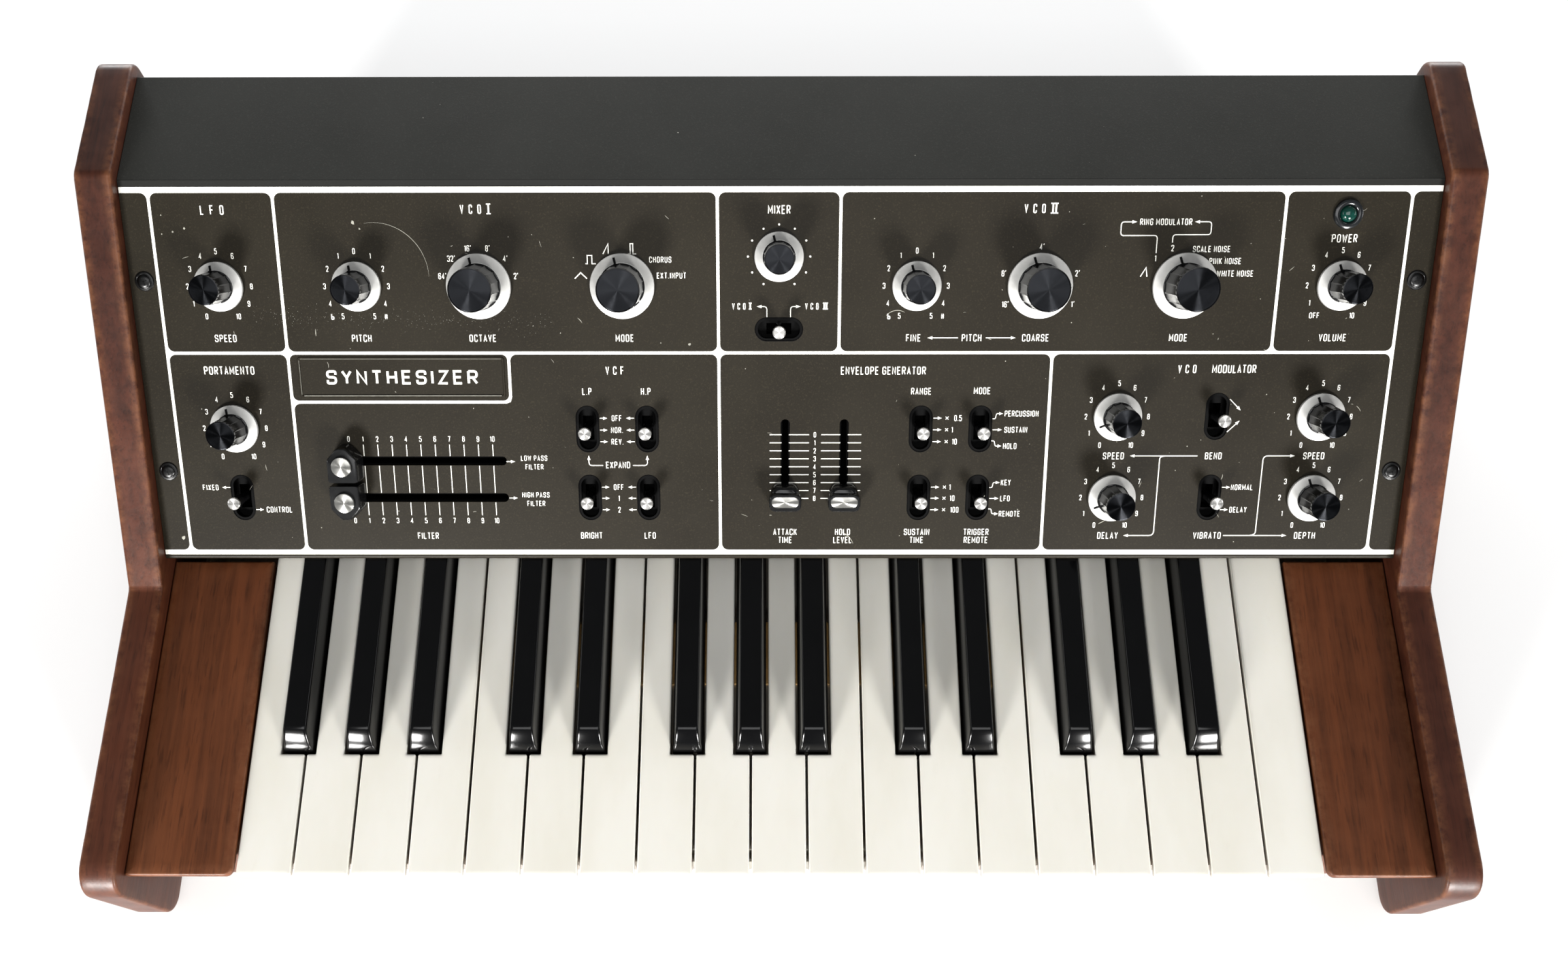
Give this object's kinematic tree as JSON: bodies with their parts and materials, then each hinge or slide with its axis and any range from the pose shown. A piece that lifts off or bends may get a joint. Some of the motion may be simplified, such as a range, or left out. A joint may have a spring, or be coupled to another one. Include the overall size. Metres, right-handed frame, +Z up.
{
  "type": "synthesizer",
  "caption": "Compact tabletop analogue synthesizer with a short keyboard, sloping control panel, knobs, levers and sliders between wooden end cheeks.",
  "frame": {"origin": "centre of the bounding box at table level, under the feet", "axes": "+X to the player's right, +Y to the back, +Z up"},
  "size_m": [0.5656, 0.327, 0.176],
  "materials": {
    "cheek_wood": "oiled, dark red-brown, worn edges",
    "block_wood": "satin walnut",
    "panel_paint": "satin dark olive charcoal with cream print",
    "cover_paint": "satin dark grey",
    "zinc_plate": "zinc plated",
    "spring_steel": "bright",
    "circuit_board": "brown laminate",
    "transformer_iron": "varnished laminations",
    "nickel": "nickel plated",
    "black_moulding": "black",
    "lamp_green": "green lens in a black bezel",
    "foot_rubber": "black",
    "black_screw": "black oxide",
    "key_ivory": "ivory, polished",
    "key_black": "black, polished",
    "knob_black": "black fluted grip with a silver skirt and cap",
    "lever_metal": "turned",
    "slider_black": "black with a silver top"
  },
  "bodies": {
    "case": {"left_cheek": "cheek_wood", "right_cheek": "cheek_wood", "left_key_block": "block_wood", "right_key_block": "block_wood", "front_panel": "panel_paint", "top_cover": "cover_paint", "bottom_plate": "zinc_plate", "keybed_frame": "zinc_plate", "key_springs": "spring_steel", "circuit_boards": "circuit_board", "power_transformer": "transformer_iron", "rotary_control_bodies": "nickel", "slide_pot_bodies": "nickel", "lever_switch_bodies": "black_moulding", "power_lamp": "lamp_green", "rear_jacks": "nickel", "rubber_feet": "foot_rubber", "panel_screws": "black_screw"},
    "keys_f": {"keys_f": "key_ivory"},
    "keys_f_sharp": {"keys_f_sharp": "key_black"},
    "keys_g": {"keys_g": "key_ivory"},
    "keys_g_sharp": {"keys_g_sharp": "key_black"},
    "keys_a": {"keys_a": "key_ivory"},
    "keys_a_sharp": {"keys_a_sharp": "key_black"},
    "keys_b": {"keys_b": "key_ivory"},
    "keys_c": {"keys_c": "key_ivory"},
    "keys_c_sharp": {"keys_c_sharp": "key_black"},
    "keys_d": {"keys_d": "key_ivory"},
    "keys_d_sharp": {"keys_d_sharp": "key_black"},
    "keys_e": {"keys_e": "key_ivory"},
    "knob_lfo_speed": {"knob_lfo_speed": "knob_black"},
    "knob_osc1_pitch": {"knob_osc1_pitch": "knob_black"},
    "knob_osc1_octave": {"knob_osc1_octave": "knob_black"},
    "knob_osc1_mode": {"knob_osc1_mode": "knob_black"},
    "knob_mixer": {"knob_mixer": "knob_black"},
    "knob_osc2_fine": {"knob_osc2_fine": "knob_black"},
    "knob_osc2_coarse": {"knob_osc2_coarse": "knob_black"},
    "knob_osc2_mode": {"knob_osc2_mode": "knob_black"},
    "knob_volume": {"knob_volume": "knob_black"},
    "knob_portamento": {"knob_portamento": "knob_black"},
    "knob_mod_speed": {"knob_mod_speed": "knob_black"},
    "knob_mod_delay": {"knob_mod_delay": "knob_black"},
    "knob_vibrato_speed": {"knob_vibrato_speed": "knob_black"},
    "knob_vibrato_depth": {"knob_vibrato_depth": "knob_black"},
    "lever_mixer": {"lever_mixer": "lever_metal"},
    "lever_portamento": {"lever_portamento": "lever_metal"},
    "lever_low_pass": {"lever_low_pass": "lever_metal"},
    "lever_high_pass": {"lever_high_pass": "lever_metal"},
    "lever_bright": {"lever_bright": "lever_metal"},
    "lever_filter_lfo": {"lever_filter_lfo": "lever_metal"},
    "lever_envelope_range": {"lever_envelope_range": "lever_metal"},
    "lever_envelope_mode": {"lever_envelope_mode": "lever_metal"},
    "lever_sustain_time": {"lever_sustain_time": "lever_metal"},
    "lever_trigger": {"lever_trigger": "lever_metal"},
    "lever_bend": {"lever_bend": "lever_metal"},
    "lever_vibrato": {"lever_vibrato": "lever_metal"},
    "slider_low_pass": {"slider_low_pass": "slider_black"},
    "slider_high_pass": {"slider_high_pass": "slider_black"},
    "slider_attack": {"slider_attack": "slider_black"},
    "slider_level": {"slider_level": "slider_black"}
  },
  "joints": [
    {"name": "press_f", "type": "hinge", "parent": "case", "child": "keys_f", "pos_m": [0, 0.062, 0.05], "axis": [1, 0, 0], "range_deg": [0, 2.5], "stiffness_Nm_per_rad": 1.65, "springref_deg": -16.04},
    {"name": "press_f_sharp", "type": "hinge", "parent": "case", "child": "keys_f_sharp", "pos_m": [0, 0.062, 0.05], "axis": [1, 0, 0], "range_deg": [0, 2.5], "stiffness_Nm_per_rad": 1.65, "springref_deg": -16.04},
    {"name": "press_g", "type": "hinge", "parent": "case", "child": "keys_g", "pos_m": [0, 0.062, 0.05], "axis": [1, 0, 0], "range_deg": [0, 2.5], "stiffness_Nm_per_rad": 1.65, "springref_deg": -16.04},
    {"name": "press_g_sharp", "type": "hinge", "parent": "case", "child": "keys_g_sharp", "pos_m": [0, 0.062, 0.05], "axis": [1, 0, 0], "range_deg": [0, 2.5], "stiffness_Nm_per_rad": 1.65, "springref_deg": -16.04},
    {"name": "press_a", "type": "hinge", "parent": "case", "child": "keys_a", "pos_m": [0, 0.062, 0.05], "axis": [1, 0, 0], "range_deg": [0, 2.5], "stiffness_Nm_per_rad": 1.65, "springref_deg": -16.04},
    {"name": "press_a_sharp", "type": "hinge", "parent": "case", "child": "keys_a_sharp", "pos_m": [0, 0.062, 0.05], "axis": [1, 0, 0], "range_deg": [0, 2.5], "stiffness_Nm_per_rad": 1.65, "springref_deg": -16.04},
    {"name": "press_b", "type": "hinge", "parent": "case", "child": "keys_b", "pos_m": [0, 0.062, 0.05], "axis": [1, 0, 0], "range_deg": [0, 2.5], "stiffness_Nm_per_rad": 1.65, "springref_deg": -16.04},
    {"name": "press_c", "type": "hinge", "parent": "case", "child": "keys_c", "pos_m": [0, 0.062, 0.05], "axis": [1, 0, 0], "range_deg": [0, 2.5], "stiffness_Nm_per_rad": 1.65, "springref_deg": -16.04},
    {"name": "press_c_sharp", "type": "hinge", "parent": "case", "child": "keys_c_sharp", "pos_m": [0, 0.062, 0.05], "axis": [1, 0, 0], "range_deg": [0, 2.5], "stiffness_Nm_per_rad": 1.1, "springref_deg": -16.04},
    {"name": "press_d", "type": "hinge", "parent": "case", "child": "keys_d", "pos_m": [0, 0.062, 0.05], "axis": [1, 0, 0], "range_deg": [0, 2.5], "stiffness_Nm_per_rad": 1.1, "springref_deg": -16.04},
    {"name": "press_d_sharp", "type": "hinge", "parent": "case", "child": "keys_d_sharp", "pos_m": [0, 0.062, 0.05], "axis": [1, 0, 0], "range_deg": [0, 2.5], "stiffness_Nm_per_rad": 1.1, "springref_deg": -16.04},
    {"name": "press_e", "type": "hinge", "parent": "case", "child": "keys_e", "pos_m": [0, 0.062, 0.05], "axis": [1, 0, 0], "range_deg": [0, 2.5], "stiffness_Nm_per_rad": 1.1, "springref_deg": -16.04},
    {"name": "turn_lfo_speed", "type": "hinge", "parent": "case", "child": "knob_lfo_speed", "pos_m": [-0.2308, 0.07291, 0.14437], "axis": [0, -0.6101, 0.7923], "range_deg": [-165, 135]},
    {"name": "turn_osc1_pitch", "type": "hinge", "parent": "case", "child": "knob_osc1_pitch", "pos_m": [-0.174, 0.07291, 0.14437], "axis": [0, -0.6101, 0.7923], "range_deg": [-165, 135]},
    {"name": "turn_osc1_octave", "type": "hinge", "parent": "case", "child": "knob_osc1_octave", "pos_m": [-0.1236, 0.07291, 0.14437], "axis": [0, -0.6101, 0.7923], "range_deg": [-90, 60]},
    {"name": "turn_osc1_mode", "type": "hinge", "parent": "case", "child": "knob_osc1_mode", "pos_m": [-0.0645, 0.07291, 0.14437], "axis": [0, -0.6101, 0.7923], "range_deg": [-90, 60]},
    {"name": "turn_mixer", "type": "hinge", "parent": "case", "child": "knob_mixer", "pos_m": [0, 0.08226, 0.15157], "axis": [0, -0.6101, 0.7923], "range_deg": [-165, 135]},
    {"name": "turn_osc2_fine", "type": "hinge", "parent": "case", "child": "knob_osc2_fine", "pos_m": [0.0566, 0.07291, 0.14437], "axis": [0, -0.6101, 0.7923], "range_deg": [-165, 135]},
    {"name": "turn_osc2_coarse", "type": "hinge", "parent": "case", "child": "knob_osc2_coarse", "pos_m": [0.1072, 0.07291, 0.14437], "axis": [0, -0.6101, 0.7923], "range_deg": [-135, 105]},
    {"name": "turn_osc2_mode", "type": "hinge", "parent": "case", "child": "knob_osc2_mode", "pos_m": [0.1665, 0.07291, 0.14437], "axis": [0, -0.6101, 0.7923], "range_deg": [-90, 60]},
    {"name": "turn_volume", "type": "hinge", "parent": "case", "child": "knob_volume", "pos_m": [0.2308, 0.07291, 0.14437], "axis": [0, -0.6101, 0.7923], "range_deg": [-165, 135]},
    {"name": "turn_portamento", "type": "hinge", "parent": "case", "child": "knob_portamento", "pos_m": [-0.2308, 0.02601, 0.10825], "axis": [0, -0.6101, 0.7923], "range_deg": [-165, 135]},
    {"name": "turn_mod_speed", "type": "hinge", "parent": "case", "child": "knob_mod_speed", "pos_m": [0.143, 0.02981, 0.11117], "axis": [0, -0.6101, 0.7923], "range_deg": [-269, 31]},
    {"name": "turn_mod_delay", "type": "hinge", "parent": "case", "child": "knob_mod_delay", "pos_m": [0.143, 0.002, 0.08976], "axis": [0, -0.6101, 0.7923], "range_deg": [-269, 31]},
    {"name": "turn_vibrato_speed", "type": "hinge", "parent": "case", "child": "knob_vibrato_speed", "pos_m": [0.2284, 0.02981, 0.11117], "axis": [0, -0.6101, 0.7923], "range_deg": [-165, 135]},
    {"name": "turn_vibrato_depth", "type": "hinge", "parent": "case", "child": "knob_vibrato_depth", "pos_m": [0.2284, 0.002, 0.08976], "axis": [0, -0.6101, 0.7923], "range_deg": [-165, 135]},
    {"name": "tilt_mixer", "type": "hinge", "parent": "case", "child": "lever_mixer", "pos_m": [0, 0.06369, 0.12717], "axis": [0, 0.7923, 0.6101], "range_deg": [-14, 14]},
    {"name": "tilt_portamento", "type": "hinge", "parent": "case", "child": "lever_portamento", "pos_m": [-0.2308, 0.00688, 0.08342], "axis": [1, 0, 0], "range_deg": [-14, 14]},
    {"name": "tilt_low_pass", "type": "hinge", "parent": "case", "child": "lever_low_pass", "pos_m": [-0.081, 0.0305, 0.1016], "axis": [1, 0, 0], "range_deg": [-14, 14]},
    {"name": "tilt_high_pass", "type": "hinge", "parent": "case", "child": "lever_high_pass", "pos_m": [-0.0558, 0.0305, 0.1016], "axis": [1, 0, 0], "range_deg": [-14, 14]},
    {"name": "tilt_bright", "type": "hinge", "parent": "case", "child": "lever_bright", "pos_m": [-0.081, 0.00688, 0.08342], "axis": [1, 0, 0], "range_deg": [-14, 14]},
    {"name": "tilt_filter_lfo", "type": "hinge", "parent": "case", "child": "lever_filter_lfo", "pos_m": [-0.0558, 0.00688, 0.08342], "axis": [1, 0, 0], "range_deg": [-14, 14]},
    {"name": "tilt_envelope_range", "type": "hinge", "parent": "case", "child": "lever_envelope_range", "pos_m": [0.0602, 0.0305, 0.1016], "axis": [1, 0, 0], "range_deg": [-14, 14]},
    {"name": "tilt_envelope_mode", "type": "hinge", "parent": "case", "child": "lever_envelope_mode", "pos_m": [0.0854, 0.0305, 0.1016], "axis": [1, 0, 0], "range_deg": [-14, 14]},
    {"name": "tilt_sustain_time", "type": "hinge", "parent": "case", "child": "lever_sustain_time", "pos_m": [0.0602, 0.00688, 0.08342], "axis": [1, 0, 0], "range_deg": [-14, 14]},
    {"name": "tilt_trigger", "type": "hinge", "parent": "case", "child": "lever_trigger", "pos_m": [0.0854, 0.00688, 0.08342], "axis": [1, 0, 0], "range_deg": [-14, 14]},
    {"name": "tilt_bend", "type": "hinge", "parent": "case", "child": "lever_bend", "pos_m": [0.185, 0.03469, 0.10484], "axis": [1, 0, 0], "range_deg": [-14, 14]},
    {"name": "tilt_vibrato", "type": "hinge", "parent": "case", "child": "lever_vibrato", "pos_m": [0.185, 0.00688, 0.08342], "axis": [1, 0, 0], "range_deg": [-14, 14]},
    {"name": "slide_low_pass", "type": "slide", "parent": "case", "child": "slider_low_pass", "axis": [1, 0, 0], "range_m": [0, 0.061]},
    {"name": "slide_high_pass", "type": "slide", "parent": "case", "child": "slider_high_pass", "axis": [1, 0, 0], "range_m": [0, 0.061]},
    {"name": "slide_attack", "type": "slide", "parent": "case", "child": "slider_attack", "axis": [0, 0.7923, 0.6101], "range_m": [0, 0.0275]},
    {"name": "slide_level", "type": "slide", "parent": "case", "child": "slider_level", "axis": [0, 0.7923, 0.6101], "range_m": [0, 0.0275]}
  ]
}
